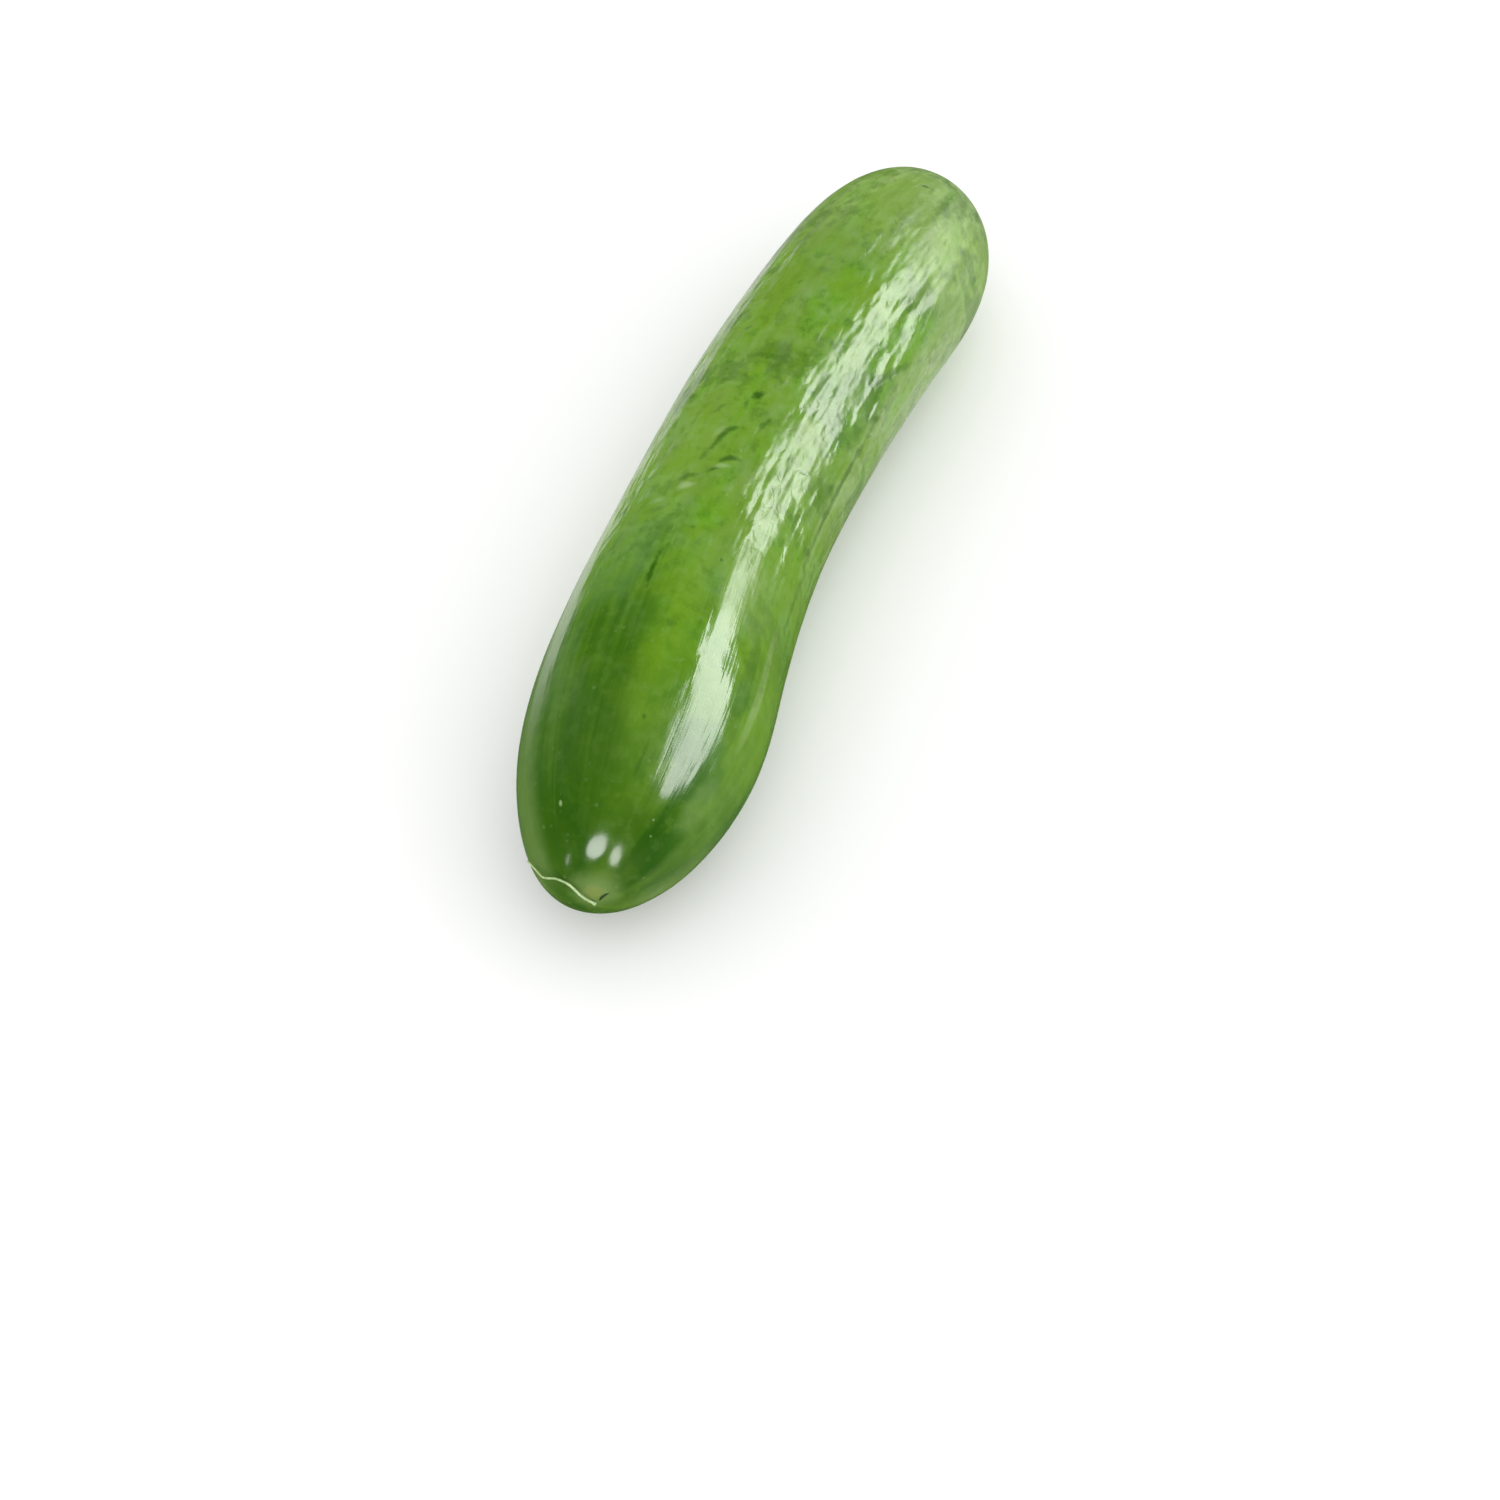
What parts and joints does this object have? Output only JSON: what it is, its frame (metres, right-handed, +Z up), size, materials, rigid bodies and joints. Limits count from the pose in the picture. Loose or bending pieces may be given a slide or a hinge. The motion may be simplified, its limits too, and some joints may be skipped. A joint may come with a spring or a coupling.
{
  "type": "cucumber",
  "caption": "Whole mini cucumber with a smooth glossy skin, gently bent and thicker towards the blossom end, which keeps the dried thread of its flower. It lies on its side.",
  "frame": {"origin": "bottom centre of the bounding box, on the surface that the cucumber rests on", "axes": "+X along the cucumber from its blossom end to its stem end, +Y to the outside of its bend, +Z up from the resting surface"},
  "size_m": [0.1604, 0.0412, 0.0392],
  "materials": {
    "skin": null,
    "dried_thread": null
  },
  "bodies": {
    "root": {"cucumber_fruit": "skin", "flower_thread": "dried_thread"}
  },
  "joints": []
}
